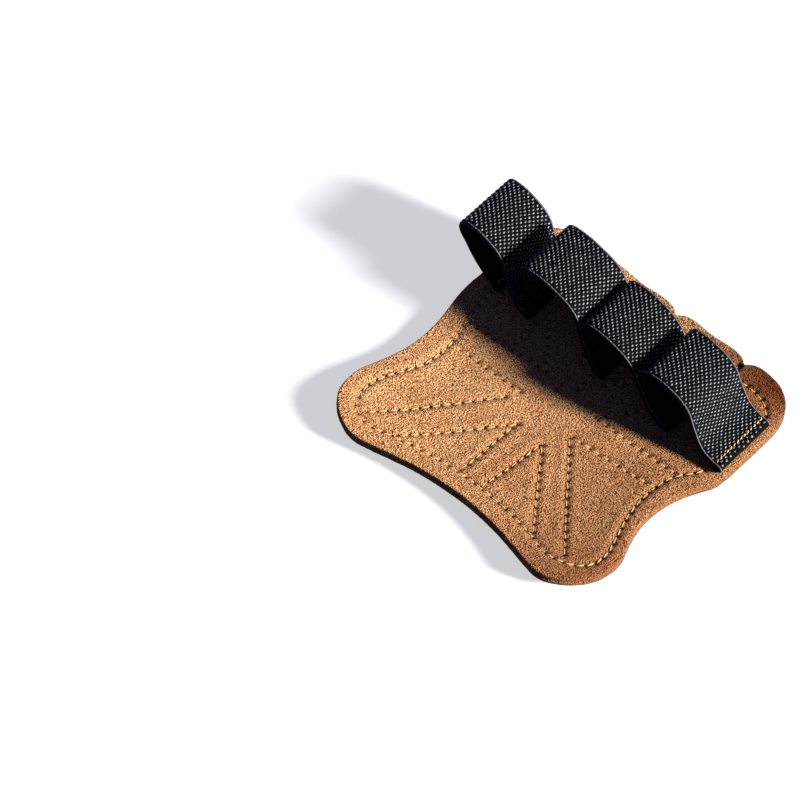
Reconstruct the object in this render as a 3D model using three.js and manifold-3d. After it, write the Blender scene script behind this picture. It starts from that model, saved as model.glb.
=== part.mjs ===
import * as THREE from "three";
import { mergeVertices } from "three/addons/utils/BufferGeometryUtils.js";
import Module from "manifold-3d";

// Palm grip for the right hand: two suede plies quilted into one pad, and one elastic band
// sewn down across the finger end of it, so that the band stands up as four finger loops.
// Millimetres, the side that faces the hand is up, fingers towards +Y, index finger at -X.

// Driving sizes of the pad. Sides and lobes are measured from its middle line.
const INDEX_SIDE = 52;
const LITTLE_SIDE = 52.3;
const INDEX_LOBE = 53.6;
const LITTLE_LOBE = 49.9;
const PAD_LENGTH = 107.6;
const PLY_THICKNESS = 1.65;
const PIECE_GAP = 0.3;
const EDGE_ROUND = 0.45;
const WAIST_TOP = 9.8;
const WAIST_BOTTOM = -31;
const INDEX_WAIST_DEPTH = 4.2;
const LITTLE_WAIST_DEPTH = 6.1;
const HEEL_DEPTH = 5.9;
const FINGER_EDGE_DROP = 0.9;
const INDEX_CORNER = 13;
const LITTLE_CORNER = 16;
const NOTCH_HALF_WIDTH = 2.7;
const NOTCH_DEPTH = 1.8;
const NOTCH_FLAT = 0.3;
const HEEL_LIFT = 2.4;
const FINGER_LIFT = 1.6;
const FLAT_HEEL_END = -28;
const FLAT_MARGIN = 0.5;

// Driving sizes of the band
const BAND_WIDTH = 25;
const BAND_THICKNESS = 1.3;
const BAND_START = -45.5;
const BAND_NEAR_EDGE = 16.2;
const BAND_SLOPE = -0.068;
const BAND_SKEW = -0.03;
const BAND_RUN = 93.7;
const LOOP_HEIGHT = 21.9;
const HEM_LENGTH = 2.4;
const FOOT_EASE = 0.35;
const SEAM_FOLD = 0.6;
const LOOP_SAMPLES = 34;
const OUTLINE_STEP = 3.5;
const EASING_PASSES = 10;

// One row a finger. span: from seam to seam, as a share of the run from the first seam to
// the last. height: top of the loop, as a share of the tallest. lean: how far its left
// shoulder stands beyond the left seam, as a share of the tallest. crown: where its right
// shoulder stands, and foot: the stretch that lies flat before the right seam, as shares of
// its own span.
const LOOPS = [
  { finger: "index", span: 0.171, height: 0.865, lean: -0.721, crown: 0.075, foot: 0.3 },
  { finger: "middle", span: 0.334, height: 1.0, lean: -0.288, crown: 0.53, foot: 0.102 },
  { finger: "ring", span: 0.293, height: 0.885, lean: -0.489, crown: 0.335, foot: 0.124 },
  { finger: "little", span: 0.202, height: 0.915, lean: -0.566, crown: 0.254, foot: 0.085 },
];

// Course of a loop as shares of its own sizes. left: share of the lean. top: share of the
// way from left shoulder to right shoulder. right: share of the way from right shoulder to
// foot. rise: share of the height.
const LEFT_LEG = [
  { left: 0.4, rise: 0.25 },
  { left: 0.8, rise: 0.56 },
  { left: 1.0, rise: 0.78 },
];
const CROWN = [
  { top: 0.07, rise: 0.94 },
  { top: 0.25, rise: 1.0 },
  { top: 0.62, rise: 0.985 },
  { top: 1.0, rise: 0.84 },
];
const RIGHT_LEG = [
  { right: 0.33, rise: 0.5 },
  { right: 0.68, rise: 0.2 },
];

// Heel edge from the middle to the corner of a lobe. across: share of the lobe's width. dip:
// height over the end of the pad, as a share of the depth of the heel hollow.
const HEEL_EDGE = [
  { across: 0.2, dip: 0.9 },
  { across: 0.4, dip: 0.6 },
  { across: 0.585, dip: 0.18 },
  { across: 0.735, dip: 0.0 },
  { across: 0.875, dip: 0.64 },
  { across: 0.968, dip: 1.6 },
  { across: 1.0, dip: 2.7 },
];

const SUEDE_PALM = { color: 0xb97a45, roughness: 0.95, metalness: 0 };
const SUEDE_HAND = { color: 0xb57743, roughness: 0.95, metalness: 0 };
const ELASTIC = { color: 0x17181b, roughness: 0.8, metalness: 0 };

const wasm = await Module();
wasm.setup();

const smooth = (t) => {
  const c = Math.min(Math.max(t, 0), 1);
  return c * c * (3 - 2 * c);
};

// The pad lies flat in the middle, under the whole band too, and curls up a little towards
// the heel and the fingers.
const flatFingerEnd = BAND_NEAR_EDGE + BAND_WIDTH - BAND_SLOPE * INDEX_SIDE + FLAT_MARGIN;
const padLift = (y) => {
  const heel = smooth((FLAT_HEEL_END - y) / (PAD_LENGTH / 2 + FLAT_HEEL_END));
  const finger = smooth((y - flatFingerEnd) / (PAD_LENGTH / 2 - flatFingerEnd));
  return HEEL_LIFT * heel + FINGER_LIFT * finger;
};

const seams = [BAND_START];
for (const loop of LOOPS) {
  seams.push(seams[seams.length - 1] + loop.span * BAND_RUN);
}

// Height of the finger edge at a place across the pad: lower at the little finger.
const fingerEdge = (x) => {
  return PAD_LENGTH / 2 - FINGER_EDGE_DROP * smooth((x + INDEX_SIDE) / (INDEX_SIDE + LITTLE_SIDE));
};

// A hollow in the outline: a shallow arc from the pen to a point, bent inwards.
const hollow = (shape, to, depth) => {
  const from = shape.currentPoint.clone();
  const run = to.clone().sub(from);
  const inward = new THREE.Vector2(-run.y, run.x).normalize();
  const reach = (4 / 3) * depth;
  const first = from.clone().addScaledVector(run, 0.28).addScaledVector(inward, reach);
  const second = from.clone().addScaledVector(run, 0.72).addScaledVector(inward, reach);
  shape.bezierCurveTo(first.x, first.y, second.x, second.y, to.x, to.y);
};

// The outline of both plies, counterclockwise.
const padOutline = () => {
  const end = PAD_LENGTH / 2;
  const shape = new THREE.Shape();
  const indexTop = fingerEdge(-INDEX_SIDE + INDEX_CORNER);
  const littleTop = fingerEdge(LITTLE_SIDE - LITTLE_CORNER);
  const heelPoint = (row, lobe) => {
    return new THREE.Vector2(row.across * lobe, -end + row.dip * HEEL_DEPTH);
  };
  const indexHeel = HEEL_EDGE.map((row) => heelPoint(row, -INDEX_LOBE)).reverse();
  const littleHeel = HEEL_EDGE.map((row) => heelPoint(row, LITTLE_LOBE));
  const middle = new THREE.Vector2(0, -end + HEEL_DEPTH);
  const corner = new THREE.Vector2(LITTLE_LOBE, WAIST_BOTTOM);
  shape.moveTo(-INDEX_SIDE, indexTop - INDEX_CORNER);
  shape.lineTo(-INDEX_SIDE, WAIST_TOP);
  hollow(shape, new THREE.Vector2(-INDEX_LOBE, WAIST_BOTTOM), INDEX_WAIST_DEPTH);
  shape.splineThru([...indexHeel, middle, ...littleHeel, corner]);
  hollow(shape, new THREE.Vector2(LITTLE_SIDE, WAIST_TOP), LITTLE_WAIST_DEPTH);
  shape.lineTo(LITTLE_SIDE, littleTop - LITTLE_CORNER);
  shape.bezierCurveTo(
    LITTLE_SIDE, littleTop - LITTLE_CORNER * 0.42,
    LITTLE_SIDE - LITTLE_CORNER * 0.42, littleTop,
    LITTLE_SIDE - LITTLE_CORNER, littleTop,
  );
  for (const seam of seams.slice(1, -1).reverse()) {
    const before = seam + NOTCH_HALF_WIDTH;
    const after = seam - NOTCH_HALF_WIDTH;
    const tip = fingerEdge(seam) - NOTCH_DEPTH;
    shape.lineTo(before, fingerEdge(before));
    shape.quadraticCurveTo(before - NOTCH_HALF_WIDTH * 0.4, fingerEdge(before), seam + NOTCH_FLAT, tip);
    shape.lineTo(seam - NOTCH_FLAT, tip);
    shape.quadraticCurveTo(after + NOTCH_HALF_WIDTH * 0.4, fingerEdge(after), after, fingerEdge(after));
  }
  shape.lineTo(-INDEX_SIDE + INDEX_CORNER, indexTop);
  shape.bezierCurveTo(
    -INDEX_SIDE + INDEX_CORNER * 0.42, indexTop,
    -INDEX_SIDE, indexTop - INDEX_CORNER * 0.42,
    -INDEX_SIDE, indexTop - INDEX_CORNER,
  );
  return shape;
};

// Points of a closed outline: no step longer than the given one, and no point left on a
// stretch that is both short and nearly straight.
const evenPoints = (shape, longest) => {
  const raw = shape.extractPoints(5).shape;
  const kept = [];
  raw.forEach((p, i) => {
    const last = kept[kept.length - 1] ?? raw[raw.length - 1];
    const next = raw[(i + 1) % raw.length];
    const one = p.clone().sub(last);
    const two = next.clone().sub(p);
    if (one.length() < 0.05) {
      return;
    }
    const turn = Math.abs(one.cross(two)) / (one.length() * Math.max(two.length(), 0.01));
    if (one.length() > longest / 2 || turn > 0.2) {
      kept.push(p);
    }
  });
  const points = [];
  kept.forEach((p, i) => {
    const next = kept[(i + 1) % kept.length];
    const pieces = Math.ceil(p.distanceTo(next) / longest);
    for (let k = 0; k < pieces; k++) {
      points.push(p.clone().lerp(next, k / pieces));
    }
  });
  return points;
};

// The outline moved inwards by a small distance, each point along its own corner.
const insetPoints = (points, distance) => points.map((p, i) => {
  const before = points[(i + points.length - 1) % points.length];
  const after = points[(i + 1) % points.length];
  const one = p.clone().sub(before).normalize();
  const two = after.clone().sub(p).normalize();
  const inward = new THREE.Vector2(-one.y - two.y, one.x + two.x).normalize();
  const share = Math.max(inward.x * -one.y + inward.y * one.x, 0.5);
  return p.clone().addScaledVector(inward, distance / share);
});

// The outline with its notches and corners worn away, for the rings inside the pad.
const easedPoints = (points, passes) => {
  let eased = points;
  for (let pass = 0; pass < passes; pass++) {
    eased = eased.map((p, i) => {
      const before = eased[(i + eased.length - 1) % eased.length];
      const after = eased[(i + 1) % eased.length];
      return p.clone().multiplyScalar(2).add(before).add(after).divideScalar(4);
    });
  }
  return eased;
};

// A ply: rings from the middle of the underside out over the rounded edge and back to the
// middle of the upper side, all of them lifted with the pad.
const plyGeometry = (outline, base) => {
  const r = EDGE_ROUND;
  const t = PLY_THICKNESS;
  const inner = easedPoints(insetPoints(outline, r), EASING_PASSES);
  const rings = [];
  const shares = [0.35, 0.6, 0.76, 0.85, 0.93];
  for (const share of shares) {
    rings.push(inner.map((p) => [p.x * share, p.y * share, 0]));
  }
  const edge = [
    { inset: r, rise: 0 },
    { inset: r * 0.29, rise: r * 0.29 },
    { inset: 0, rise: r },
    { inset: 0, rise: t - r },
    { inset: r * 0.29, rise: t - r * 0.29 },
    { inset: r, rise: t },
  ];
  for (const row of edge) {
    rings.push(insetPoints(outline, row.inset).map((p) => [p.x, p.y, row.rise]));
  }
  for (const share of shares.slice().reverse()) {
    rings.push(inner.map((p) => [p.x * share, p.y * share, t]));
  }
  const count = outline.length;
  const place = ([x, y, z]) => [x, y, base + z + padLift(y)];
  const positions = rings.flat().flatMap(place);
  const bottom = rings.length * count;
  const top = bottom + 1;
  positions.push(...place([0, 0, 0]), ...place([0, 0, t]));
  const index = [];
  for (let i = 0; i < count; i++) {
    const j = (i + 1) % count;
    index.push(bottom, j, i);
    for (let k = 0; k < rings.length - 1; k++) {
      const a = k * count + i;
      const b = k * count + j;
      index.push(a, b, b + count, a, b + count, a + count);
    }
    const last = (rings.length - 1) * count;
    index.push(top, last + i, last + j);
  }
  const geometry = new THREE.BufferGeometry();
  geometry.setAttribute("position", new THREE.Float32BufferAttribute(positions, 3));
  geometry.setIndex(index);
  geometry.computeVertexNormals();
  return geometry;
};

// The middle line of one loop in the plane of its section, from its left seam to its right.
const loopCourse = (loop, startRise, endRise) => {
  const height = loop.height * LOOP_HEIGHT - BAND_THICKNESS / 2;
  const lean = loop.lean * LOOP_HEIGHT;
  const span = loop.span * BAND_RUN;
  const crown = loop.crown * span;
  const footStart = (1 - loop.foot) * span;
  const course = [new THREE.Vector3(0, startRise, 0)];
  for (const row of LEFT_LEG) {
    course.push(new THREE.Vector3(row.left * lean, row.rise * height, 0));
  }
  for (const row of CROWN) {
    course.push(new THREE.Vector3(lean + row.top * (crown - lean), row.rise * height, 0));
  }
  for (const row of RIGHT_LEG) {
    const x = crown + row.right * (footStart - crown);
    course.push(new THREE.Vector3(x, row.rise * height, 0));
  }
  course.push(new THREE.Vector3(footStart, endRise + FOOT_EASE, 0));
  course.push(new THREE.Vector3(span, endRise, 0));
  const curve = new THREE.CatmullRomCurve3(course, false, "centripetal");
  return curve.getSpacedPoints(LOOP_SAMPLES);
};

// A strip of the band's thickness along a course, as a shape.
const stripShape = (course, offset) => {
  const half = BAND_THICKNESS / 2;
  const one = [];
  const other = [];
  course.forEach((p, i) => {
    const before = course[Math.max(i - 1, 0)];
    const after = course[Math.min(i + 1, course.length - 1)];
    const run = after.clone().sub(before).normalize();
    one.push(new THREE.Vector2(offset + p.x - run.y * half, p.y + run.x * half));
    other.push(new THREE.Vector2(offset + p.x + run.y * half, p.y - run.x * half));
  });
  return new THREE.Shape([...one, ...other.reverse()]);
};

const blockShape = (from, to, bottom, top) => new THREE.Shape([
  new THREE.Vector2(from, bottom),
  new THREE.Vector2(to, bottom),
  new THREE.Vector2(to, top),
  new THREE.Vector2(from, top),
]);

// A section drawn along the pad and upwards, drawn out over the width of the band, and
// sheared so that the band drops towards the little finger and its tips edge leans back.
const bandSolid = (shape, base) => {
  const geometry = new THREE.ExtrudeGeometry(shape, { depth: BAND_WIDTH, bevelEnabled: false });
  geometry.rotateX(Math.PI / 2);
  geometry.translate(0, BAND_WIDTH, base);
  geometry.applyMatrix4(new THREE.Matrix4().set(
    1, BAND_SKEW, 0, 0,
    BAND_SLOPE, 1, 0, BAND_NEAR_EDGE,
    0, 0, 1, 0,
    0, 0, 0, 1,
  ));
  const bare = new THREE.BufferGeometry();
  bare.setAttribute("position", geometry.getAttribute("position"));
  if (geometry.index) {
    bare.setIndex(geometry.index);
  }
  const merged = mergeVertices(bare, 1e-4);
  return new wasm.Manifold(new wasm.Mesh({
    numProp: 3,
    vertProperties: merged.attributes.position.array,
    triVerts: new Uint32Array(merged.index.array),
  }));
};

const bandGeometry = (base) => {
  const t = BAND_THICKNESS;
  const last = LOOPS.length - 1;
  const shapes = [];
  LOOPS.forEach((loop, i) => {
    const start = i === 0 ? 1.5 * t : 0.5 * t;
    const end = i === last ? 1.5 * t : 0.5 * t;
    shapes.push(stripShape(loopCourse(loop, start, end), seams[i]));
    if (i < last) {
      shapes.push(blockShape(seams[i + 1] - SEAM_FOLD, seams[i + 1] + SEAM_FOLD, 0, t));
    }
  });
  shapes.push(blockShape(seams[0] - SEAM_FOLD / 2, seams[0] + HEM_LENGTH, 0, 2 * t));
  shapes.push(blockShape(seams[last + 1] - SEAM_FOLD, seams[last + 1] + HEM_LENGTH, 0, 2 * t));
  let band = bandSolid(shapes[0], base);
  for (const shape of shapes.slice(1)) {
    band = band.add(bandSolid(shape, base));
  }
  const mesh = band.getMesh();
  const geometry = new THREE.BufferGeometry();
  geometry.setAttribute("position", new THREE.Float32BufferAttribute(mesh.vertProperties, 3));
  geometry.setIndex(new THREE.BufferAttribute(mesh.triVerts, 1));
  geometry.computeVertexNormals();
  return geometry;
};

const outline = evenPoints(padOutline(), OUTLINE_STEP);
const handBase = PLY_THICKNESS + PIECE_GAP;
const bandBase = handBase + PLY_THICKNESS + PIECE_GAP;

const pieces = [
  { name: "palm_leather", geometry: plyGeometry(outline, 0), finish: SUEDE_PALM },
  { name: "hand_leather", geometry: plyGeometry(outline, handBase), finish: SUEDE_HAND },
  { name: "finger_elastic", geometry: bandGeometry(bandBase), finish: ELASTIC },
];

// All pieces move together, so that the middle of the box round them stands over the origin.
const box = new THREE.Box3();
for (const piece of pieces) {
  piece.geometry.computeBoundingBox();
  box.union(piece.geometry.boundingBox);
}
const centre = box.getCenter(new THREE.Vector3());
const glove = new THREE.Group();
glove.name = "fitness_glove";
for (const piece of pieces) {
  piece.geometry.translate(-centre.x, -centre.y, -box.min.z);
  const mesh = new THREE.Mesh(piece.geometry, new THREE.MeshStandardMaterial(piece.finish));
  mesh.name = piece.name;
  glove.add(mesh);
}

export default glove;
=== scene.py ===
# %% [markdown]
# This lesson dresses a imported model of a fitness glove: a palm grip of quilted suede with four
# finger loops of black elastic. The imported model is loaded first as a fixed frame, so that each
# piece that is made here goes where its solid is. All lengths below are in millimetres, and a
# finished mesh is scaled to metres at its end.

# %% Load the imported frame
import math
import random

import bmesh
import bpy
from mathutils import Matrix, Vector, kdtree, noise


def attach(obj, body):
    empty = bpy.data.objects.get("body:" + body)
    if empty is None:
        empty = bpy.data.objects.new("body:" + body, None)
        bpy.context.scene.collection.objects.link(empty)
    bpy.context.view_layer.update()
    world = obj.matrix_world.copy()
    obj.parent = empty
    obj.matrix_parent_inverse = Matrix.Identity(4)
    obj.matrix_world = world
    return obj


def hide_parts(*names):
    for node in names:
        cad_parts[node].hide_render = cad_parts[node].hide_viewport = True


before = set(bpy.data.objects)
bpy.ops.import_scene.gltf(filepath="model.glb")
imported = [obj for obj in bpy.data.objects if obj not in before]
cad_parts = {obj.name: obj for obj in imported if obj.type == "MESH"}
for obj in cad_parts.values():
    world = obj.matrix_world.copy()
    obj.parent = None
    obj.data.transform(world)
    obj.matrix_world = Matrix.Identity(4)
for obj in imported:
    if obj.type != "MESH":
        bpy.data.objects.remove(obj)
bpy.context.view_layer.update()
MM = 0.001
random.seed(11)

# %% [markdown]
# The camera stands where the photographer stood, high over the heel of the pad and to its right,
# with a long lens. Its place was worked out once from the quilting and the loops, and is written
# here as an angle round the glove, a height, a roll and an offset of the aim.

# %% Camera
IMAGE_SIDE = 812
LENS_PIXELS = 4938.85
SENSOR = 36.0
AZIMUTH = 36.576
ELEVATION = 52.104
ROLL = 6.4025
DISTANCE = 1500.0
AIM_RIGHT = 45.92
AIM_UP = -1.67
PLAN_X = 3.18
FAR_CLIP = 20


def way_out(azimuth, elevation):
    """The way from the glove to a lamp or a camera: degrees round from +X and above the floor."""
    turn, tilt = math.radians(azimuth), math.radians(elevation)
    level = math.cos(tilt)
    return Vector((math.cos(turn) * level, math.sin(turn) * level, math.sin(tilt)))


def place_camera():
    turn, roll = math.radians(AZIMUTH), math.radians(ROLL)
    right = Vector((math.cos(turn), math.sin(turn), 0))
    back = way_out(AZIMUTH - 90, ELEVATION)
    up = back.cross(right)
    rolled_right = right * math.cos(roll) + up * math.sin(roll)
    rolled_up = up * math.cos(roll) - right * math.sin(roll)
    aim = Vector((PLAN_X, 0, 0)) - rolled_right * AIM_RIGHT - rolled_up * AIM_UP
    place = aim + back * DISTANCE
    camera = bpy.data.objects.new("camera", bpy.data.cameras.new("camera"))
    camera.data.sensor_width = SENSOR
    camera.data.lens = SENSOR * LENS_PIXELS / IMAGE_SIDE
    camera.data.clip_end = FAR_CLIP
    axes = Matrix((rolled_right, rolled_up, back)).transposed().to_4x4()
    camera.matrix_world = Matrix.Translation(place * MM) @ axes
    bpy.context.collection.objects.link(camera)
    bpy.context.scene.camera = camera
    return camera


camera = place_camera()
print("camera lens", round(camera.data.lens, 2), "mm")

# %% [markdown]
# A material is a tree of nodes, and most of a tree is arithmetic. A small class wraps the socket
# that a value comes out of, so that an expression such as 1 - mask * 0.4 adds its Math nodes by
# itself. A second class makes the other nodes: noise, colour ramps, mixes and bump.

# %% Node helpers


class Value:
    def __init__(self, finish, socket):
        self.finish = finish
        self.socket = socket

    def math(self, operation, *others, clamp=False):
        settings = {"operation": operation, "use_clamp": clamp}
        inputs = dict(enumerate((self, *others)))
        return self.finish.node("ShaderNodeMath", settings, inputs)

    def __add__(self, other):
        return self.math("ADD", other)

    def __mul__(self, other):
        return self.math("MULTIPLY", other)

    def __sub__(self, other):
        return self.math("SUBTRACT", other)

    def __rsub__(self, other):
        return self.finish.node("ShaderNodeMath", {"operation": "SUBTRACT"}, {0: other, 1: self})

    def clamped(self):
        return self.math("ADD", 0.0, clamp=True)


class Finish:
    def __init__(self, name):
        self.material = bpy.data.materials.new(name)
        self.material.use_nodes = True
        self.tree = self.material.node_tree
        self.shader = self.tree.nodes["Principled BSDF"]

    def link(self, socket, value):
        if isinstance(value, Value):
            self.tree.links.new(value.socket, socket)
        elif isinstance(value, (tuple, list)) and socket.type == "RGBA":
            socket.default_value = (*value, 1) if len(value) == 3 else value
        else:
            socket.default_value = value

    def node(self, kind, settings=None, inputs=None, output=0):
        made = self.tree.nodes.new(kind)
        for key, value in (settings or {}).items():
            setattr(made, key, value)
        for key, value in (inputs or {}).items():
            self.link(made.inputs[key], value)
        return Value(self, made.outputs[output])

    def place(self):
        """Object coordinates in millimetres."""
        spot = self.node("ShaderNodeTexCoord", output="Object")
        inputs = {0: spot, 1: (1 / MM,) * 3}
        return self.node("ShaderNodeVectorMath", {"operation": "MULTIPLY"}, inputs)

    def noise(self, scale, detail, roughness=0.6):
        """Noise of so many grains to the millimetre."""
        sizes = {"Vector": self.place(), "Scale": scale, "Detail": detail, "Roughness": roughness}
        return self.node("ShaderNodeTexNoise", None, sizes, output="Fac")

    def ramp(self, value, stops):
        """A colour for a value, from a list of places and colours."""
        made = self.tree.nodes.new("ShaderNodeValToRGB")
        elements = made.color_ramp.elements
        while len(elements) < len(stops):
            elements.new(0.5)
        for element, (place, colour) in zip(elements, stops):
            element.position = place
            element.color = (*colour, 1)
        self.link(made.inputs["Fac"], value)
        return Value(self, made.outputs[0])

    def attribute(self, name):
        return self.node("ShaderNodeAttribute", {"attribute_name": name}, output="Fac")

    def mix(self, share, one, other, blend="MIX"):
        settings = {"data_type": "RGBA", "blend_type": blend}
        return self.node("ShaderNodeMix", settings, {0: share, 6: one, 7: other}, output=2)

    def bump(self, height, distance, strength=1.0):
        inputs = {"Height": height, "Distance": distance * MM, "Strength": strength}
        return self.node("ShaderNodeBump", None, inputs)

    def set(self, **sockets):
        for name, value in sockets.items():
            self.link(self.shader.inputs[name.replace("_", " ")], value)
        return self.material


print("helpers ready")

# %% [markdown]
# Rough-out suede has a short nap. Up close it is a fine speckle of lit and shaded fibres, over
# slow changes of tone where the hide took the dye unevenly. Three noises of different size give
# the colour, and the two finer ones also give the bump. Their speckle is partly the fibres' own
# tone and partly painted light and shade, as the same noise makes high fibres paler. Three
# attributes written on the mesh darken the leather: painted shade in the dimples where a stitch
# pulls it in, a cut edge that is darker partly by its own colour and partly by painted shade, and
# painted shade over the little finger's side, the far corner and the heel's right, with patches
# of random tone. A painted picture would do too, but noise stays sharp at any distance.

# %% Suede
SUEDE_LIGHT = (1.0, 0.61, 0.32)
SUEDE_MIDDLE = (0.8, 0.31, 0.075)
SUEDE_DARK = (0.08, 0.02, 0.004)
SUEDE_PAINTED_SHADE = (0.3, 0.13, 0.06)
SUEDE_EDGE = (0.3, 0.12, 0.045)
GRAINS_PER_MM = 1.95
FIBRES_PER_MM = 3.4
MOTTLES_PER_MM = 0.09
NAP_HEIGHT = 1.8


def suede(name):
    finish = Finish(name)
    grain = finish.noise(GRAINS_PER_MM, 1.0)
    fibre = finish.noise(FIBRES_PER_MM, 1.0)
    mottle = finish.noise(MOTTLES_PER_MM, 4.0)
    # Partly the fibres' own tone and partly painted light and shade: high fibres are paler.
    stops = [(0.37, SUEDE_DARK), (0.47, SUEDE_MIDDLE), (0.6, SUEDE_LIGHT)]
    tone = finish.ramp(grain * 0.7 + fibre * 0.3, stops)
    warm = finish.mix((mottle - 0.35).clamped() * 0.7, tone, SUEDE_EDGE, "MULTIPLY")
    # Painted shade over the pad, with patches of random tone.
    with_painted_shade = finish.mix(finish.attribute("nap"), warm, SUEDE_PAINTED_SHADE, "MULTIPLY")
    # Painted shade in the dimples round the needle holes.
    with_hole_shade = finish.mix(finish.attribute("painted_shade_at_holes") * 0.55, with_painted_shade, SUEDE_DARK)
    # Darker cut edge: partly its own colour, partly painted shade.
    colour = finish.mix(finish.attribute("cut_edge") * 0.9, with_hole_shade, SUEDE_EDGE)
    normal = finish.bump(grain + fibre * 0.4, NAP_HEIGHT)
    return finish.set(
        Base_Color=colour, Roughness=0.93, Normal=normal, Specular_IOR_Level=0.15,
        Sheen_Weight=0.1, Sheen_Roughness=0.5, Sheen_Tint=(0.95, 0.6, 0.3),
    )


hand_finish = suede("suede_hand")
palm_finish = suede("suede_palm")
print("suede", hand_finish.name, palm_finish.name)

# %% [markdown]
# A path through given points is easiest to draw as a Bezier curve with automatic handles, which
# Blender turns into a run of points. The same helper serves for the outline of the leather and
# for the course of the elastic. Points an even step apart are then laid along that run.

# %% Paths
CURVE_STEPS = 12
ROUNDING = 1e-6


def smooth_path(points, closed=False, corners=()):
    """A smooth run of points through the given ones. Corners are the points that stay sharp."""
    curve = bpy.data.curves.new("path", "CURVE")
    curve.dimensions = "3D"
    curve.resolution_u = CURVE_STEPS
    spline = curve.splines.new("BEZIER")
    spline.bezier_points.add(len(points) - 1)
    spline.use_cyclic_u = closed
    for i, (knot, point) in enumerate(zip(spline.bezier_points, points)):
        knot.co = Vector((*point, 0)) if len(point) == 2 else Vector(point)
        kind = "VECTOR" if i in corners else "AUTO"
        knot.handle_left_type = kind
        knot.handle_right_type = kind
    holder = bpy.data.objects.new("path", curve)
    bpy.context.collection.objects.link(holder)
    bpy.context.view_layer.update()
    course = [v.co.copy() for v in holder.to_mesh().vertices]
    holder.to_mesh_clear()
    bpy.data.objects.remove(holder)
    bpy.data.curves.remove(curve)
    return course


def even_steps(course, step, closed=False):
    """Points an even step apart along a run of points."""
    run = course + course[:1] if closed else course
    total = sum((b - a).length for a, b in zip(run, run[1:]))
    count = max(1, round(total / step))
    gap = total / count
    points = [run[0].copy()]
    walked = 0.0
    for a, b in zip(run, run[1:]):
        length = (b - a).length
        reach = walked + length + ROUNDING
        while length > 0 and len(points) <= count and len(points) * gap <= reach:
            points.append(a.lerp(b, (len(points) * gap - walked) / length))
        walked += length
    return points[:-1] if closed else points


print("path helpers ready")

# %% [markdown]
# The two plies are cut to one outline: a square finger end with a notch at each finger seam, a
# waist on each side, and two lobes at the heel. The outline runs counterclockwise, and its points
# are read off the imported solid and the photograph.

# %% Outline of the pad
OUTLINE_POINTS = [
    (-26.9, 53.8), (-33.0, 53.8), (-38.1, 53.1), (-42.4, 50.7), (-45.3, 46.9), (-46.6, 42.0),
    (-46.8, 34.0), (-46.8, 24.0), (-46.6, 13.0), (-45.6, 6.6), (-44.2, 0.0), (-43.5, -6.5),
    (-43.6, -13.0), (-44.7, -20.0), (-46.7, -27.2), (-48.3, -32.6), (-48.3, -38.0),
    (-46.9, -44.0), (-43.5, -48.7), (-38.6, -52.1), (-33.0, -53.8), (-26.9, -52.9),
    (-19.0, -50.9), (-10.0, -49.0), (0.0, -48.0), (10.0, -48.0), (20.0, -49.2), (28.5, -51.1),
    (35.2, -52.9), (41.0, -53.8), (46.3, -51.9), (50.8, -48.1), (53.9, -43.2), (55.1, -37.4),
    (54.9, -31.6), (53.1, -26.4), (51.2, -20.3), (50.3, -13.5), (50.8, -6.0), (52.4, 0.0),
    (54.6, 5.2), (56.7, 9.6), (57.4, 14.0), (57.4, 24.0), (57.2, 34.0), (56.6, 41.0),
    (54.3, 46.8), (50.0, 50.7), (44.6, 52.6), (37.6, 53.0), (34.5, 51.2), (31.6, 53.0),
    (20.0, 53.2), (10.1, 53.3), (7.0, 51.5), (3.9, 53.4), (-8.0, 53.6), (-21.2, 53.7),
    (-24.3, 51.9),
]
NOTCH_DEPTHS = (51.9, 51.5, 51.2)
NOTCHES = [i for i, point in enumerate(OUTLINE_POINTS) if point[1] in NOTCH_DEPTHS]
OUTLINE_STEP = 0.25
OUTLINE = even_steps(smooth_path(OUTLINE_POINTS, True, NOTCHES), OUTLINE_STEP, True)
EDGE_REACH = 3


def nearest_tree(points):
    """A search tree that finds the nearest of the points, seen from above."""
    tree = kdtree.KDTree(len(points))
    for i, point in enumerate(points):
        tree.insert((point[0], point[1], 0), i)
    tree.balance()
    return tree


edge_tree = nearest_tree(OUTLINE)


def nearest_edge(x, y):
    """The nearest point of the outline, its outward direction, and the depth inside it."""
    _, i, _ = edge_tree.find((x, y, 0))
    run = OUTLINE[(i + EDGE_REACH) % len(OUTLINE)] - OUTLINE[i - EDGE_REACH]
    outward = Vector((run.y, -run.x, 0)).normalized()
    point = Vector((OUTLINE[i].x, OUTLINE[i].y, 0))
    depth = (point - Vector((x, y, 0))).dot(outward)
    return point, outward, depth


print("outline of", len(OUTLINE), "points")

# %% [markdown]
# The quilting is one table of straight seams and a border. The seams fan out from the bare
# middle of the palm like the creases of a hand. Three of them, marked as joints, run under the
# elastic between two loops and are sewn through it, so there the thread lies on the elastic and
# not on the leather. A needle hole is set at each stitch's end.

# %% Seams and needle holes
STITCH = 3.3
LINE_STEP = 0.5
SEAMS = [
    ((40.9, 41.1), (14.4, 4.5)), ((27.8, 42.6), (8.5, 15.7)), ((-0.8, 47.3), (-1.6, 17.5)),
    ((8.0, 45.5), (8.2, 16.0)), ((-22.6, 48.0), (-1.5, 17.2)), ((-37.0, 44.1), (-7.7, 7.3)),
    ((-7.7, 7.3), (-36.8, 4.8)), ((-8.3, -4.3), (-35.2, -5.0)), ((-10.4, -9.1), (-35.6, -44.1)),
    ((-0.8, -14.2), (-23.0, -43.9)), ((-1.3, -16.4), (-1.4, -40.0)), ((9.2, -15.7), (7.2, -40.5)),
    ((9.6, -15.3), (29.6, -42.8)), ((13.7, -7.1), (41.9, -43.0)), ((14.3, -6.3), (44.7, -4.2)),
    ((15.5, 4.3), (45.4, 4.3)),
]
JOINTS = [((33.2, 50.0), (33.2, 12.5)), ((4.2, 50.0), (3.7, 8.8)), ((-21.8, 50.0), (-21.8, 9.0))]
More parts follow.
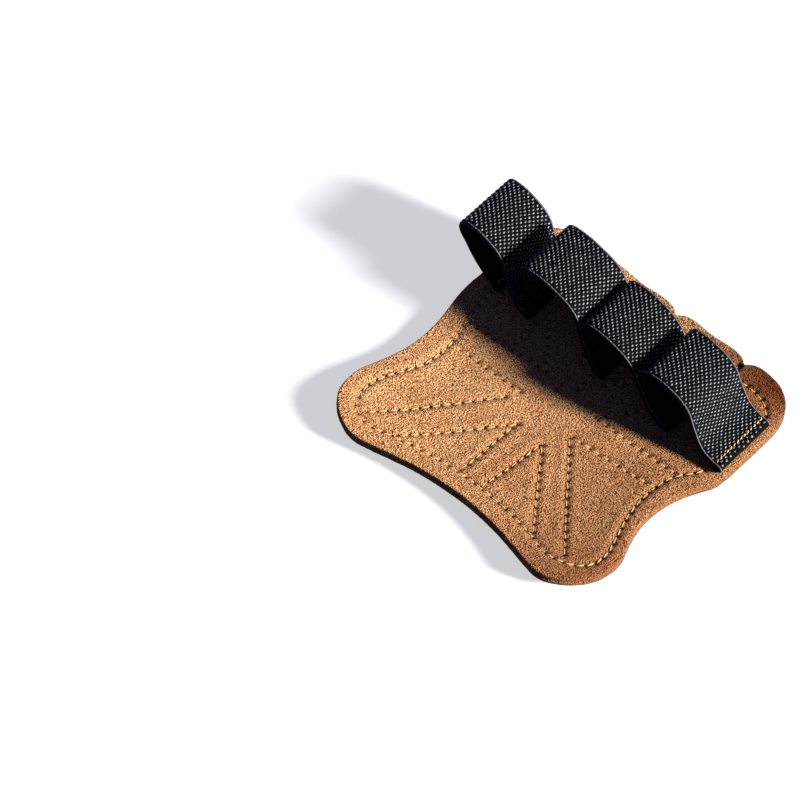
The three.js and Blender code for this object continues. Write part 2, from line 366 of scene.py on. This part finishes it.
BORDER = [
    (-35.0, 45.0), (-23.2, 47.3), (4.0, 47.2), (32.9, 45.6), (46.5, 44.6), (51.4, 40.6),
    (53.2, 34.0), (53.4, 24.0), (53.0, 15.5), (50.6, 9.5), (46.2, 3.0), (44.7, -4.2),
    (45.3, -16.0), (48.6, -27.0), (50.6, -34.2), (49.4, -41.3), (40.1, -46.2), (28.5, -43.6),
    (15.0, -41.5), (3.0, -41.0), (-10.0, -42.2), (-22.6, -45.0), (-33.4, -47.4), (-40.5, -43.5),
    (-42.3, -36.0), (-40.8, -28.0), (-36.6, -18.6), (-35.6, -5.9), (-38.5, 6.8), (-39.5, 14.8),
    (-40.5, 21.3), (-41.4, 32.2), (-40.6, 41.0),
]


BAND_NEAR = 16.2
BAND_WIDTH = 25.0
BAND_SLOPE = -0.068
BAND_SKEW = -0.03
BAND_SHIFT = 5.18
BAND_CLEAR = 0.6


def seam_run(start, end):
    return even_steps([Vector((*start, 0)), Vector((*end, 0))], STITCH)


def band_near(x):
    """The edge of the band that is nearer to the heel."""
    return BAND_NEAR + BAND_SLOPE * (x - BAND_SHIFT)


def under_band(x, y):
    near = band_near(x)
    return near - BAND_CLEAR < y < near + BAND_WIDTH + BAND_CLEAR


quilting = [seam_run(start, end) for start, end in SEAMS]
border = even_steps(smooth_path(BORDER, True), STITCH, True)
quilting.append(border + border[:1])
joints = [seam_run(start, end) for start, end in JOINTS]
holes = [point for run in quilting + joints for point in run]
hole_tree = nearest_tree(holes)
line_tree = nearest_tree([p for run in quilting + joints for p in even_steps(run, LINE_STEP)])
joint_tree = nearest_tree([p for run in joints for p in even_steps(run, LINE_STEP)])
print(len(quilting) + len(joints), "seams with", len(holes), "needle holes")

# %% [markdown]
# One function says how far the leather is pulled in at each place. A seam presses a soft groove,
# the leather swells a little beside it, each needle hole is a dimple, and the hide itself is
# never quite flat. A second one gives the slow curl of the whole pad. At the heel and at the
# fingers it is the same as the solid's, and both sides rise a little more than the solid does.
# Bump in the material could draw the seams too, but real grooves also catch a low light.

# %% Relief of the leather
HEEL_LIFT = 2.4
FINGER_LIFT = 1.6
SIDE_LIFT = 1.5
SIDE_FLAT = 26.0
SIDE_END = 56.0
FLAT_FROM = -28.0
FLAT_TO = 45.24
PAD_END = 53.8
GROOVE_DEPTH, GROOVE_WIDTH = 0.22, 0.95
DIMPLE_DEPTH, DIMPLE_WIDTH = 0.42, 0.75
JOINT_DEPTH, JOINT_WIDTH = 0.12, 1.6
SWELL_HEIGHT, SWELL_WIDTH, SWELL_FROM_SEAM = 0.13, 1.3, 2.4
WAVE_HEIGHT, WAVE_SIZE = 0.16, 11
RIPPLE_HEIGHT, RIPPLE_SIZE = 0.07, 2.2
MEAN_DEPTH = 0.1


def ease(t):
    """Rises from 0 to 1 with a soft start and a soft end."""
    t = min(max(t, 0.0), 1.0)
    return t * t * (3 - 2 * t)


def side_lift(x):
    return SIDE_LIFT * ease((abs(x) - SIDE_FLAT) / (SIDE_END - SIDE_FLAT))


def pad_lift(x, y):
    heel = ease((FLAT_FROM - y) / (PAD_END + FLAT_FROM))
    finger = ease((y - FLAT_TO) / (PAD_END - FLAT_TO))
    return HEEL_LIFT * heel + FINGER_LIFT * finger + side_lift(x)


def bell(distance, width):
    """1 at no distance, and soon 0 beyond the width."""
    return math.exp(-((distance / width) ** 2))


def wander(x, y, size, layer):
    """A value that drifts between -1 and 1 over the size, seeded by its layer."""
    return noise.noise(Vector((x / size, y / size, layer)))


def relief(x, y):
    to_line, to_hole, to_joint = (
        tree.find((x, y, 0))[2] for tree in (line_tree, hole_tree, joint_tree)
    )
    pull = -GROOVE_DEPTH * bell(to_line, GROOVE_WIDTH)
    pull -= DIMPLE_DEPTH * bell(to_hole, DIMPLE_WIDTH)
    pull -= JOINT_DEPTH * bell(to_joint, JOINT_WIDTH)
    swell = SWELL_HEIGHT * bell(to_line - SWELL_FROM_SEAM, SWELL_WIDTH)
    wave = WAVE_HEIGHT * wander(x, y, WAVE_SIZE, 0.3)
    ripple = RIPPLE_HEIGHT * wander(x, y, RIPPLE_SIZE, 4.0)
    return pull + swell + wave + ripple - MEAN_DEPTH


print("depth at a hole", round(relief(holes[5].x, holes[5].y), 2), "mm")

# %% [markdown]
# A cut sheet of leather or elastic has an upper face, a rounded edge and a lower face. Only the
# upper half is made: its rim is extruded a few rows out and down to the middle of the thickness,
# and mirroring that half closes the body. A Solidify modifier would leave the edge square.

# %% Rounded edges
MERGE_MIRROR = 0.001
EDGE_ANGLES = (30, 60, 90)


def extrude_rim(bm, rim, move):
    """Extrudes a rim of edges and moves each new vertex. Gives back the new rim."""
    made = bmesh.ops.extrude_edge_only(bm, edges=rim)["geom"]
    for vert in (g for g in made if isinstance(g, bmesh.types.BMVert)):
        vert.co = move(vert.co)
    return [g for g in made if isinstance(g, bmesh.types.BMEdge) and g.is_boundary
            and all(len(v.link_faces) <= 2 for v in g.verts)]


def round_rows(radius, half):
    """Steps out and down over a rounded edge, to the middle of the thickness."""
    angles = [math.radians(a) for a in EDGE_ANGLES]
    spots = [(0.0, 0.0)] + [(radius * math.sin(a), radius * (1 - math.cos(a))) for a in angles]
    spots.append((radius, half))
    return [(b[0] - a[0], b[1] - a[1]) for a, b in zip(spots, spots[1:])]


def close_body(bm, outward, radius, half):
    """Rounds the rim of an upper face and mirrors it to a closed body."""
    rim = [e for e in bm.edges if e.is_boundary]
    for out, down in round_rows(radius, half):
        rim = extrude_rim(bm, rim, lambda co: co + outward(co) * out - Vector((0, 0, down)))
    whole = bm.verts[:] + bm.edges[:] + bm.faces[:]
    bmesh.ops.mirror(bm, geom=whole, matrix=Matrix(), merge_dist=MERGE_MIRROR, axis="Z")
    bmesh.ops.recalc_face_normals(bm, faces=bm.faces)


print("rows round an edge", len(EDGE_ANGLES) + 1)

# %% [markdown]
# Every piece is finished the same way: its mesh is scaled to metres, gets its material, and
# rides on the one body of the glove, so one function does it for all of them.

# %% Finished pieces


def finish_mesh(name, bm, material, smooth=True):
    bmesh.ops.scale(bm, vec=(MM, MM, MM), verts=bm.verts)
    mesh = bpy.data.meshes.new(name)
    bm.to_mesh(mesh)
    bm.free()
    mesh.materials.append(material)
    if smooth:
        mesh.shade_smooth()
    piece = bpy.data.objects.new(name, mesh)
    bpy.context.collection.objects.link(piece)
    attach(piece, "root")
    triangles = sum(len(p.vertices) - 2 for p in mesh.polygons)
    print(name, triangles, "triangles")
    return piece


print("all pieces ride on root")

# %% [markdown]
# This is painted shade: the leather is made darker towards the little finger's side, most of all
# at the far corner beside the little finger, and at the right of the heel, with patches of random
# tone over it. A share of painted shade for each place is written on the mesh and tells the
# material how much of the darker tone to take.

# %% Painted shade over the pad
SHADE_ACROSS = 0.5
SHADE_CORNER = 0.8
SHADE_HEEL = 0.25
SHADE_PATCH, PATCH_SIZE = 0.12, 16


# Painted shade across the pad, at the far corner and at the heel's right; the patch is random
# tone.
def painted_shade_and_patch_share(x, y):
    across = ease((x + 45) / 120)
    corner = ease((y - 34) / 22) * ease((x - 10) / 40)
    heel = ease((-18 - y) / 30) * ease(x / 50)
    patch = SHADE_PATCH * wander(x, y, PATCH_SIZE, 7.0)
    shade = SHADE_ACROSS * across + SHADE_CORNER * corner + SHADE_HEEL * heel + patch
    return min(max(shade, 0.0), 1.0)


print("shade at the far corner", round(painted_shade_and_patch_share(50, 45), 2))

# %% [markdown]
# Each ply starts as a fine grid. What lies outside the outline is cut away, the ragged rim is
# extruded once onto the outline, and the body is closed round its edge. Then each vertex gets its
# shade and its relief, and the cut edge frays a little. A grid is better here than one large
# face, because the grooves need small faces all over.

# %% Cut a ply
GRID_REACH = 60
CELL = 0.52
EDGE_ROUND = 0.5
RAGGED_RIM = 0.3
MERGE_RIM = 0.02
PLY = 1.68
PAD_TOP = 3.6
EDGE_SHADE_DEPTH, EDGE_SHADE_LEVEL = 0.4, 1.25
FRAY, FRAYS_PER_MM = 0.14, 1.3
FLOOR_GAP = 0.02


def cut_grid(half):
    """A grid at the level of the upper face, cut along the outline."""
    bm = bmesh.new()
    count = round(2 * GRID_REACH / CELL)
    bmesh.ops.create_grid(bm, x_segments=count, y_segments=count, size=GRID_REACH)
    outside = [v for v in bm.verts
               if nearest_edge(v.co.x, v.co.y)[2] < EDGE_ROUND + RAGGED_RIM]
    bmesh.ops.delete(bm, geom=outside, context="VERTS")
    bmesh.ops.delete(bm, geom=[v for v in bm.verts if not v.link_faces], context="VERTS")
    bmesh.ops.translate(bm, vec=(0, 0, half), verts=bm.verts)

    def onto_outline(co):
        point, outward, _ = nearest_edge(co.x, co.y)
        spot = point - outward * EDGE_ROUND
        return Vector((spot.x, spot.y, half))

    extrude_rim(bm, [e for e in bm.edges if e.is_boundary], onto_outline)
    bmesh.ops.remove_doubles(bm, verts=bm.verts, dist=MERGE_RIM)
    return bm


def cut_ply(name, middle, face, material):
    """One ply: face is 1 when its rough side is up, and -1 when it is down."""
    half = PLY / 2
    bm = cut_grid(half)
    close_body(bm, lambda co: nearest_edge(co.x, co.y)[1], EDGE_ROUND, half)
    near = bm.verts.layers.float.new("painted_shade_at_holes")
    edge = bm.verts.layers.float.new("cut_edge")
    nap = bm.verts.layers.float.new("nap")
    for vert in bm.verts:
        x, y, z = vert.co
        outward, depth = nearest_edge(x, y)[1:]
        side = 1 if z > 0 else -1
        at_edge = ease(EDGE_SHADE_LEVEL - abs(z) / half)
        # Painted shade in the dimples round the needle holes.
        vert[near] = bell(hole_tree.find((x, y, 0))[2], DIMPLE_WIDTH)
        # Darker cut edge: partly its own colour, partly painted shade.
        vert[edge] = ease(1 - depth / EDGE_SHADE_DEPTH) * at_edge
        # Painted shade over the pad, with patches of random tone.
        vert[nap] = painted_shade_and_patch_share(x, y)
        fray = FRAY * noise.noise(vert.co * FRAYS_PER_MM) * vert[edge]
        rise = side * relief(x, y) * abs(z) / half if side == face else 0
        level = max(z + middle + rise + pad_lift(x, y), FLOOR_GAP)
        vert.co = Vector((x, y, level)) + outward * fray
    return finish_mesh(name, bm, material)


hand_ply = cut_ply("hand_suede", PAD_TOP - PLY / 2, 1, hand_finish)
palm_ply = cut_ply("palm_suede", PLY / 2, -1, palm_finish)
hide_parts("hand_leather")
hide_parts("palm_leather")

# %% [markdown]
# The thread is a thick golden one, spun of pale and dark fibres, which a noise and a ramp give.
# The shade inside each needle hole is painted, in a nearly black leather brown of its own.

# %% Finish of thread and painted hole shade


def thread_finish():
    finish = Finish("gold_thread")
    fibre = finish.noise(3.0, 2.0)
    stops = [(0.3, (0.3, 0.13, 0.03)), (0.5, (0.72, 0.38, 0.1)), (0.72, (0.95, 0.68, 0.27))]
    return finish.set(
        Base_Color=finish.ramp(fibre, stops), Roughness=0.55,
        Normal=finish.bump(fibre, 0.25, 0.6), Sheen_Weight=0.2,
    )


def hole_shade_finish():
    finish = Finish("needle_hole_shade")
    stops = [(0.3, (0.006, 0.003, 0.002)), (0.7, (0.03, 0.013, 0.006))]
    colour = finish.ramp(finish.noise(2.5, 2.0), stops)
    return finish.set(Base_Color=colour, Roughness=1.0, Specular_IOR_Level=0.05)


gold = thread_finish()
hole_shade_material = hole_shade_finish()
print("finishes", gold.name, hole_shade_material.name)

# %% [markdown]
# A stitch dives into its hole at both ends, so each is a stretched little ball that is turned a
# few degrees off the seam, as a lockstitch lies. The shade inside each hole is painted as a short
# dark cone set into the leather. A few dozen faces are enough for each, and hundreds of them stay
# light.

# %% One stitch and the painted shade of one hole
STITCH_HEIGHT = 0.24
STITCH_LEAN = 7.0
LEAN_SPREAD = 5
STITCH_REACH = (0.42, 0.47)
HOLE_SIZE = (0.26, 0.5)
HOLE_DEPTH = 0.5
HOLE_TAPER = 0.5


def sew(bm, a, b, width, lean=STITCH_LEAN):
    """One stitch from a hole to the next."""
    run = b - a
    turn = run.to_track_quat("X", "Z").to_matrix().to_4x4()
    off_line = math.radians(lean + random.uniform(-LEAN_SPREAD, LEAN_SPREAD))
    reach = run.length * random.uniform(*STITCH_REACH)
    shape = Matrix.Rotation(off_line, 4, "Z") @ Matrix.Diagonal((reach, width, STITCH_HEIGHT, 1))
    place = Matrix.Translation((a + b) / 2) @ turn @ shape
    bmesh.ops.create_uvsphere(bm, u_segments=6, v_segments=6, radius=1, matrix=place)


def set_hole_shade_cone(bm, spot, face):
    """Painted hole shade, a cone wide at the side that shows: face is 1 for above and -1 for
    below.
    """
    place = Matrix.Translation(spot) @ Matrix.Rotation(random.uniform(0, 3), 4, "Z")
    wide = random.uniform(*HOLE_SIZE)
    narrow = wide * HOLE_TAPER
    low, high = (wide, narrow) if face < 0 else (narrow, wide)
    bmesh.ops.create_cone(
        bm, cap_ends=True, segments=8, radius1=low, radius2=high, depth=HOLE_DEPTH, matrix=place,
    )


print("stitch", STITCH, "mm long")

# %% [markdown]
# The same seams are sewn on both sides of the pad. Each stitch lies at the leather's own level at
# its middle, because at the holes the leather is pulled in and would hide it. It sinks in by a
# small random amount, and the needle never strikes quite the same line.

# %% Sew the quilting
BORDER_WIDTH, BORDER_SINK = 0.27, (-0.2, 0.04)
SEAM_WIDTH, SEAM_SINK = 0.23, (-0.22, -0.02)
HOLE_STRAY = 0.25
HOLE_SINK = 0.08


def leather_level(x, y, face):
    """Height of the leather's outer side: face is 1 for the hand side and -1 for the palm."""
    base = PAD_TOP if face > 0 else 0.0
    return base + face * relief(x, y) + pad_lift(x, y)


def quilt(face):
    thread = bmesh.new()
    hole_shade_mesh = bmesh.new()
    for run in quilting + joints:
        spots = [Vector((p.x, p.y, leather_level(p.x, p.y, face))) for p in run]
        is_border = run is quilting[-1]
        through_band = run in joints and face > 0
        width, sink = (BORDER_WIDTH, BORDER_SINK) if is_border else (SEAM_WIDTH, SEAM_SINK)
        for a, b in zip(spots, spots[1:]):
            middle = (a + b) / 2
            if through_band and under_band(middle.x, middle.y):
                continue
            level = leather_level(middle.x, middle.y, face) + face * random.uniform(*sink)
            lie = Vector((0, 0, level - middle.z))
            sew(thread, a + lie, b + lie, width)
        # A dark cone of painted shade goes into each needle hole.
        for spot in spots[:-1] if is_border else spots:
            if through_band and under_band(spot.x, spot.y):
                continue
            stray_x, stray_y = (random.uniform(-HOLE_STRAY, HOLE_STRAY) for _ in range(2))
            set_hole_shade_cone(hole_shade_mesh, spot + Vector((stray_x, stray_y, -face * HOLE_SINK)), face)
    return thread, hole_shade_mesh


hand_thread, hand_hole_shade = quilt(1)
palm_thread, palm_hole_shade = quilt(-1)
finish_mesh("hand_stitches", hand_thread, gold)
finish_mesh("palm_stitches", palm_thread, gold)
finish_mesh("hand_needle_hole_shade", hand_hole_shade, hole_shade_material, False)
finish_mesh("palm_needle_hole_shade", palm_hole_shade, hole_shade_material, False)

# %% [markdown]
# The elastic is one band that stands up between its seams as four loops, leaning towards the
# index finger. The course of each loop is drawn in the plane across the fingers, from the same
# shares of its span and height as the solid's. Both ends of the band are folded under and sewn.

# %% Course of the elastic
LOOP_HEIGHT = 21.9
RUN = 93.7
FIRST_SEAM = -40.32
BAND_BASE = 3.9
THICK = 1.25
COURSE_STEP = 0.2
FOOT_RISE = 0.3
FINGERS = ["index", "middle", "ring", "little"]
LOOPS = [
    {"span": 0.171, "height": 0.865, "lean": -0.721, "crown": 0.075, "foot": 0.3},
    {"span": 0.334, "height": 1.0, "lean": -0.288, "crown": 0.53, "foot": 0.102},
    {"span": 0.293, "height": 0.885, "lean": -0.489, "crown": 0.335, "foot": 0.124},
    {"span": 0.202, "height": 0.915, "lean": -0.566, "crown": 0.254, "foot": 0.085},
]
LEFT_LEG = [(0.4, 0.25), (0.8, 0.56), (1.0, 0.78)]
CROWN = [(0.07, 0.94), (0.25, 1.0), (0.62, 0.985), (1.0, 0.84)]
RIGHT_LEG = [(0.33, 0.5), (0.68, 0.2)]
FOLD_UNDER = [(1.7, 0.5), (2.3, 1.0), (1.7, 1.5)]


def loop_course(row, seam, first, last):
    """The middle line of one loop from seam to seam, with a fold under at the band's ends."""
    height = row["height"] * LOOP_HEIGHT - THICK / 2
    lean = row["lean"] * LOOP_HEIGHT
    span = row["span"] * RUN
    crown = row["crown"] * span
    foot = (1 - row["foot"]) * span
    start = 1.5 * THICK if first else 0.5 * THICK
    end = 1.5 * THICK if last else 0.5 * THICK
    course = []
    if first:
        course += [(0.0, 0.5 * THICK)] + [(x, z * THICK) for x, z in FOLD_UNDER]
    course.append((0.0, start))
    course += [(share * lean, rise * height) for share, rise in LEFT_LEG]
    course += [(lean + share * (crown - lean), rise * height) for share, rise in CROWN]
    course += [(crown + share * (foot - crown), rise * height) for share, rise in RIGHT_LEG]
    course += [(foot, end + FOOT_RISE), (span, end)]
    if last:
        course += [(span + x, z * THICK) for x, z in reversed(FOLD_UNDER)]
        course.append((span - 1.0, 0.5 * THICK))
    points = [(seam + x, 0, BAND_BASE + z) for x, z in course]
    return even_steps(smooth_path(points), COURSE_STEP)


seam_places = [FIRST_SEAM]
for row in LOOPS:
    seam_places.append(seam_places[-1] + row["span"] * RUN)
courses = [
    loop_course(row, seam_places[i], i == 0, i == len(LOOPS) - 1)
    for i, row in enumerate(LOOPS)
]
lengths = [COURSE_STEP * (len(course) - 1) for course in courses]
print("seams", [round(x, 1) for x in seam_places])
print("lengths", {finger: round(length) for finger, length in zip(FINGERS, lengths)})

# %% [markdown]
# A loop is made the way it is sewn: a strip is cut flat, gets its thickness and its rounded
# edges there, and is then bent along its course. Its raised ribs are laid out on the flat strip
# too and take the same bend. The strip narrows a little where the elastic is stretched most, and
# its woven edge, the selvage, is a little thicker than the rest.

# %% Cut and bend a strip
NARROWING = 0.05
REACH_AHEAD, REACH_BACK = 3, 2
STRIP_STEP = 0.7
STRIP_COUNT = 26
STRIP_ROUND = 0.42
SELVAGE_RISE, SELVAGE_WIDTH, SELVAGE_INSET = 0.1, 0.45, 0.55
STRIP_LAYERS = ("along", "across", "outer")


def bend(bm, course):
    """Lays what was made flat along X over the course of a loop."""
    last = len(course) - 1
    for vert in bm.verts:
        along, across, out = vert.co
        spot = min(max(along / COURSE_STEP, 0.0), last - 0.001)
        i = int(spot)
        point = course[i].lerp(course[i + 1], spot - i)
        ahead = course[min(i + REACH_AHEAD, last)] - course[max(i - REACH_BACK, 0)]
        normal = Vector((-ahead.z, 0, ahead.x)).normalized()
        past = ahead.normalized() * (along - spot * COURSE_STEP)
        point = point + normal * out + past
        narrow = 1 - NARROWING * (point.z - BAND_BASE) / LOOP_HEIGHT
        local = (across + BAND_WIDTH / 2) * narrow
        level = point.z + side_lift(point.x)
        vert.co = Vector((point.x + BAND_SKEW * local, band_near(point.x) + local, level))


def cut_strip(bm, length):
    """A flat strip with rounded edges, from 0 to its length, with its middle line on X."""
    half = THICK / 2
    inner = Vector((length - 2 * STRIP_ROUND, BAND_WIDTH - 2 * STRIP_ROUND, 1))
    grid = Matrix.Translation((length / 2, 0, half)) @ Matrix.Diagonal((*inner, 1))
    rows = round(length / STRIP_STEP)
    bmesh.ops.create_grid(bm, x_segments=rows, y_segments=STRIP_COUNT, size=0.5, matrix=grid)

    def outward(co):
        right = co.x - length / 2 > inner.x / 2 - 0.01
        left = co.x - length / 2 < 0.01 - inner.x / 2
        far = co.y > inner.y / 2 - 0.01
        near = co.y < 0.01 - inner.y / 2
        return Vector((right - left, far - near, 0))

    close_body(bm, outward, STRIP_ROUND, half)
    along, across, outer = [bm.verts.layers.float.new(name) for name in STRIP_LAYERS]
    for vert in bm.verts:
        side = 1 if vert.co.z > 0 else -1
        selvage = bell(abs(vert.co.y) - BAND_WIDTH / 2 + SELVAGE_INSET, SELVAGE_WIDTH)
        vert[along] = vert.co.x
        vert[across] = vert.co.y
        vert[outer] = max(side, 0)
        vert.co.z += SELVAGE_RISE * selvage * side


print("a strip has", STRIP_COUNT, "rows across")

# %% [markdown]
# The outside of this elastic shows short raised floats in slanting rows, and its inside is
# plain and fine. The floats catch the light as pale grey flecks, so they are real ribs here.
# Three of them make the unit that repeats in both directions, so a strip is covered by doubling
# that unit again and again. What hangs over the strip's edges is then cut away.

# %% Ribs
RIB_STEP = Vector((2.318, -0.249, 0))
RIB_ROW = Vector((-0.13, 2.244, 0))
RIB_TRIO = [Vector((0, 0, 0)), Vector((0.816, -0.831, 0)), Vector((1.502, 0.582, 0))]
RIB_SIZE = (0.3, 0.6, 0.17, 1)
RIB_TURN = -4.0
RIB_LEVEL = THICK / 2 + 0.02
RIB_MARGIN = 1.2
SEAM_MARGIN = 0.8
HEM = 4.3


def double_up(bm, step, number, layers):
    """Repeats all that is in the mesh along a step, doubling it until there are enough."""
    made = 1
    while made < number:
        whole = bm.verts[:] + bm.edges[:] + bm.faces[:]
        copied = bmesh.ops.duplicate(bm, geom=whole)["geom"]
        verts = [g for g in copied if isinstance(g, bmesh.types.BMVert)]
        bmesh.ops.translate(bm, vec=step * made, verts=verts)
        for vert in verts:
            vert[layers[0]] += step.x * made
            vert[layers[1]] += step.y * made
        made *= 2


def lay_ribs(bm, length, start, end):
    """Ribs over the outside of a flat strip, each kept or cut away by where its middle is."""
    layers = [bm.verts.layers.float.new(name) for name in ("middle_x", "middle_y")]
    corner = Vector((-3.0, -BAND_WIDTH / 2 - 1, RIB_LEVEL))
    shape = Matrix.Rotation(math.radians(RIB_TURN), 4, "Z") @ Matrix.Diagonal(RIB_SIZE)
    for offset in RIB_TRIO:
        place = Matrix.Translation(corner + offset) @ shape
        made = bmesh.ops.create_uvsphere(bm, u_segments=6, v_segments=4, radius=1, matrix=place)
        for vert in made["verts"]:
            vert[layers[0]], vert[layers[1]] = (corner + offset).xy
    drift = -RIB_STEP.y / RIB_STEP.x * length
    double_up(bm, RIB_ROW, (BAND_WIDTH + drift) / RIB_ROW.y + 2, layers)
    double_up(bm, RIB_STEP, length / RIB_STEP.x + 3, layers)
    half = BAND_WIDTH / 2 - RIB_MARGIN
    beyond = [v for v in bm.verts if not start < v[layers[0]] < end or abs(v[layers[1]]) > half]
    bmesh.ops.delete(bm, geom=beyond, context="VERTS")


print("one rib is", 2 * RIB_SIZE[1], "mm long")

# %% [markdown]
# The four strips and their ribs are cut, bent and gathered in two meshes, one for the band and
# one for its ribs. Near a seam there are no ribs, and at both ends the hem stays bare.

# %% The four loops


def merge_into(target, source):
    mesh = bpy.data.meshes.new("part")
    source.to_mesh(mesh)
    source.free()
    target.from_mesh(mesh)
    bpy.data.meshes.remove(mesh)


band = bmesh.new()
for layer in STRIP_LAYERS:
    band.verts.layers.float.new(layer)
ribs = bmesh.new()
for i, (course, length) in enumerate(zip(courses, lengths)):
    strip = bmesh.new()
    cut_strip(strip, length)
    bend(strip, course)
    merge_into(band, strip)
    rib = bmesh.new()
    start = HEM if i == 0 else SEAM_MARGIN
    end = length - (HEM if i == len(LOOPS) - 1 else SEAM_MARGIN)
    lay_ribs(rib, length, start, end)
    bend(rib, course)
    merge_into(ribs, rib)
print("strip faces", len(band.faces), "rib faces", len(ribs.faces))

# %% [markdown]
# The yarn of the band is black with a slight gloss. Its body is darker between the ribs, and the
# woven edge on each side is a thin paler line, partly a painted highlight on its rounded outer
# corner. Some ribs are paler at random, and this paler colour is partly a painted sheen. A fine
# twill in the bump serves for the inside.
# The weave follows the strip round each loop, because it is drawn from the attributes that the
# flat strip was given.

# %% Elastic finish
BODY_DARK = (0.0008, 0.0008, 0.001)
BODY_PALE = (0.0035, 0.0035, 0.0045)
SELVAGE_AND_HIGHLIGHT_COLOUR = (0.3, 0.3, 0.34)
RIB_DARK = (0.006, 0.006, 0.007)
RIB_MIDDLE = (0.05, 0.051, 0.057)
RIB_PALE_AND_SHEEN = (0.22, 0.223, 0.24)


def elastic_finish():
    finish = Finish("elastic_body")
    along, across, outer = (finish.attribute(name) for name in STRIP_LAYERS)
    slant = (along * 5.2 + across * 3.4).math("SINE")
    cross = (across * 6.4 - along * 1.1).math("SINE")
    weave = slant * cross * 0.5 + 0.5
    fuzz = finish.noise(2.2, 3.0, 0.7)
    from_line = (across.math("ABSOLUTE") - (BAND_WIDTH / 2 - 0.5)).math("ABSOLUTE")
    edge = (1 - from_line * 4.5).clamped()
    body = finish.mix((weave * 0.55 + fuzz * 0.45).clamped(), BODY_DARK, BODY_PALE)
    # Paler woven edge, partly a painted highlight on its rounded outer corner.
    selvage = finish.mix(edge * outer * (fuzz * 0.9 + 0.2), body, SELVAGE_AND_HIGHLIGHT_COLOUR)
    shaded = finish.mix((1 - outer) * 0.5, selvage, BODY_DARK)
    normal = finish.bump(weave * 0.7 + fuzz * 0.5, 0.3, 0.8)
    return finish.set(
        Base_Color=shaded, Roughness=0.8, Normal=normal, Specular_IOR_Level=0.05,
    )


def rib_finish():
    finish = Finish("elastic_rib")
    # Paler ribs, at random: partly their own tone and partly a painted sheen.
    stops = [(0.4, RIB_DARK), (0.5, RIB_MIDDLE), (0.62, RIB_PALE_AND_SHEEN)]
    colour = finish.ramp(finish.noise(0.9, 3.0, 0.7), stops)
    fibre = finish.noise(6.0, 2.0)
    return finish.set(
        Base_Color=colour, Roughness=0.42, Normal=finish.bump(fibre, 0.1, 0.5),
        Specular_IOR_Level=0.9,
    )


band_piece = finish_mesh("finger_band", band, elastic_finish())
finish_mesh("finger_band_ribs", ribs, rib_finish())
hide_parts("finger_elastic")

# %% [markdown]
# Where the band is sewn down, a row of the same gold stitches crosses it from edge to edge: on
# the folded ends close to the fold, and between two loops on the flat foot of the left one. The
# rows are short and steep, as those of a bar tack are.

# %% Stitches across the band
CROSSINGS = [(1.1, 2 * THICK), (-1.3, THICK + 0.1), (-1.5, THICK + 0.1), (-1.3, THICK + 0.1),
             (0.0, 2 * THICK)]
TACK_STEP = 1.7
TACK_LEAN = 20
TACK_WIDTH = (0.22, 0.34)
TACK_RISE = 0.12
TACK_INSET = 0.9
band_thread = bmesh.new()
for seam, (offset, level) in zip(seam_places, CROSSINGS):
    x = seam + offset
    near = band_near(x)
    z = BAND_BASE + level + TACK_RISE + side_lift(x)
    start = Vector((x - 0.03, near + TACK_INSET, z))
    end = Vector((x + BAND_SKEW * BAND_WIDTH, near + BAND_WIDTH - TACK_INSET, z))
    spots = even_steps([start, end], TACK_STEP)
    for a, b in zip(spots, spots[1:]):
        sew(band_thread, a, b, random.uniform(*TACK_WIDTH), TACK_LEAN)
finish_mesh("band_stitches", band_thread, gold)

# %% [markdown]

# %% [markdown]
# The floor is a plain pale sheet, far larger than the view. It glows a little, so that it comes
# out nearly white with a soft shadow, and its glow is kept off the leather, whose cut edge is
# dark in the photograph.

# %% Floor
FLOOR_REACH = 3.0
FLOOR_GLOW = 0.6


def add_floor():
    finish = Finish("floor_paint")
    stops = [(0.3, (0.45, 0.45, 0.445)), (0.7, (0.48, 0.48, 0.475))]
    colour = finish.ramp(finish.noise(0.02, 2.0), stops)
    finish.set(Base_Color=colour, Roughness=0.9, Emission_Color=(1.0, 1.0, 0.99),
               Emission_Strength=FLOOR_GLOW)
    bm = bmesh.new()
    bmesh.ops.create_grid(bm, x_segments=4, y_segments=4, size=FLOOR_REACH)
    mesh = bpy.data.meshes.new("floor")
    bm.to_mesh(mesh)
    bm.free()
    mesh.materials.append(finish.material)
    floor = bpy.data.objects.new("floor", mesh)
    bpy.context.collection.objects.link(floor)
    floor.visible_diffuse = False
    return floor


print("floor", round(2 * add_floor().data.vertices[-1].co.x), "m wide")

# %% [markdown]
# One broad lamp stands low on the side of the little finger, so that the loops throw a dark and
# soft-edged shadow over the pad. A weak bluish light from all around fills the shadows. The view
# is set to Standard, because the colours above were chosen for it.

# %% Lights
KEY_STRENGTH = 10.2
KEY_BREADTH = 11.0
KEY_AZIMUTH = 20.5
KEY_ELEVATION = 22.5
FILL_COLOUR = (0.22, 0.32, 1.0, 1)
FILL_STRENGTH = 0.16


def add_key():
    lamp = bpy.data.lights.new("key", "SUN")
    lamp.energy = KEY_STRENGTH
    lamp.angle = math.radians(KEY_BREADTH)
    sun = bpy.data.objects.new("key", lamp)
    way = way_out(KEY_AZIMUTH, KEY_ELEVATION)
    sun.rotation_euler = way.to_track_quat("Z", "Y").to_euler()
    bpy.context.collection.objects.link(sun)


def add_fill():
    world = bpy.data.worlds.new("studio")
    world.use_nodes = True
    background = world.node_tree.nodes["Background"]
    background.inputs["Color"].default_value = FILL_COLOUR
    background.inputs["Strength"].default_value = FILL_STRENGTH
    bpy.context.scene.world = world


add_key()
add_fill()
bpy.context.scene.view_settings.view_transform = "Standard"
bpy.context.scene.view_settings.look = "None"
